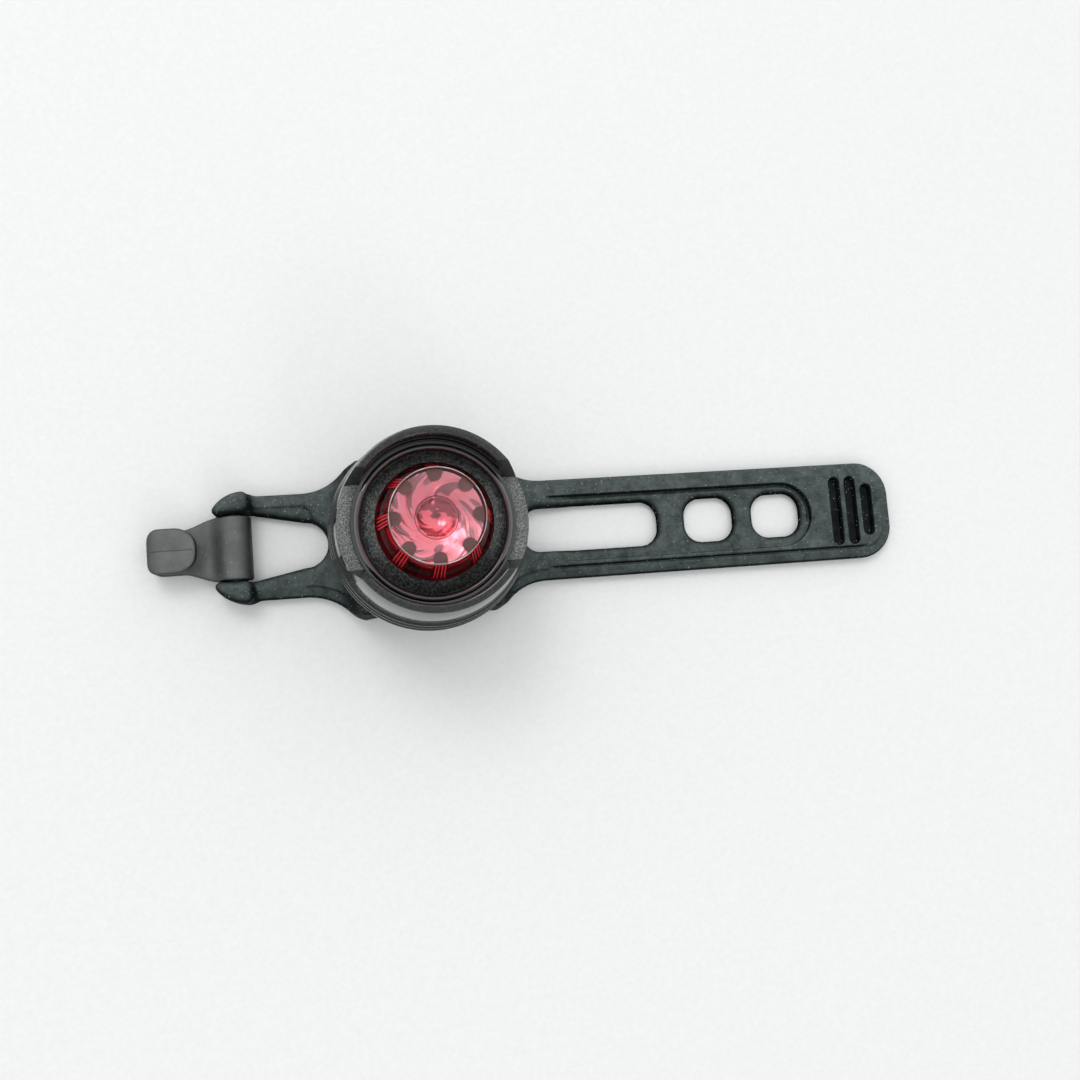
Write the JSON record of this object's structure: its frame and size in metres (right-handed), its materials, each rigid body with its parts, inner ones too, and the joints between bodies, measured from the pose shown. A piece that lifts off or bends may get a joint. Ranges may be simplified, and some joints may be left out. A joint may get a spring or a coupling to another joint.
{
  "type": "bike rear light",
  "caption": "Turned black aluminium bicycle rear light with a red press lens, on a slotted silicone strap with a plastic hook for a seat post.",
  "frame": {"origin": "on the axis of the tube that the saddle sits on, where the lamp's own axis crosses it", "axes": "+X along the strap towards its tail, +Y along the tube, +Z along the lamp's axis out through the lens"},
  "size_m": [0.1297, 0.032, 0.0315],
  "materials": {
    "silicone": "moulded silicone, satin, a little dusty",
    "hook_plastic": "moulded nylon, fine matt grain",
    "black_aluminium": "black anodised, turned and milled",
    "seal_rubber": "smooth",
    "bead_black": "gloss",
    "soft_grey": "soft silicone",
    "bezel_black": "fine matt grain",
    "lens_red": "clear red, polished",
    "diode_epoxy": "clear, polished",
    "diode_metal": "plated",
    "board_laminate": "solder mask",
    "switch_black": "matt",
    "plunger_ivory": "matt",
    "chip_black": "matt moulded",
    "resistor_ceramic": "glazed",
    "contact_brass": "rolled strip",
    "holder_plastic": "matt",
    "cell_steel": "pressed steel"
  },
  "bodies": {
    "base": {"strap_pad": "silicone", "base_cap": "black_aluminium", "battery_holder": "holder_plastic", "coin_cell_lower": "cell_steel", "coin_cell_upper": "cell_steel", "negative_spring": "contact_brass"},
    "seal": {"seal_ring": "seal_rubber"},
    "head": {"housing": "black_aluminium", "retaining_ring": "bead_black", "return_ring": "soft_grey", "circuit_board": "board_laminate", "switch_body": "switch_black", "control_chip": "chip_black", "resistors": "resistor_ceramic", "led_dome": "diode_epoxy", "led_frame": "diode_metal", "positive_contact": "contact_brass"},
    "button": {"lens": "lens_red", "button_bezel": "bezel_black", "switch_plunger": "plunger_ivory"},
    "tail": {"strap_tail": "silicone"},
    "loop": {"strap_loop": "silicone"},
    "hook": {"hook": "hook_plastic"}
  },
  "joints": [
    {"name": "seal_lift", "type": "slide", "parent": "base", "child": "seal", "axis": [0, 0, 1], "range_m": [0, 0.00375]},
    {"name": "housing_turn", "type": "hinge", "parent": "seal", "child": "head", "pos_m": [0, 0, 0.0158], "axis": [0, 0, 1], "range_deg": [0, 1080]},
    {"name": "button_press", "type": "slide", "parent": "head", "child": "button", "axis": [0, 0, -1], "range_m": [0, 0.0005], "stiffness_N_per_m": 4000, "deforming": ["return_ring"]},
    {"name": "tail_bend", "type": "hinge", "parent": "base", "child": "tail", "pos_m": [0.02047, 0, 0.00635], "axis": [0, 1, 0], "range_deg": [0, 90], "stiffness_Nm_per_rad": 0.003},
    {"name": "loop_bend", "type": "hinge", "parent": "base", "child": "loop", "pos_m": [-0.02047, 0, 0.00635], "axis": [0, -1, 0], "range_deg": [0, 90], "stiffness_Nm_per_rad": 0.003},
    {"name": "hook_swing", "type": "hinge", "parent": "loop", "child": "hook", "pos_m": [-0.0311, 0, 0.0091], "axis": [0, 1, 0], "range_deg": [-90, 120]}
  ],
  "couplings": [
    {"joint": "housing_turn", "follows": "seal_lift", "rad_per_m": 5026.5}
  ]
}
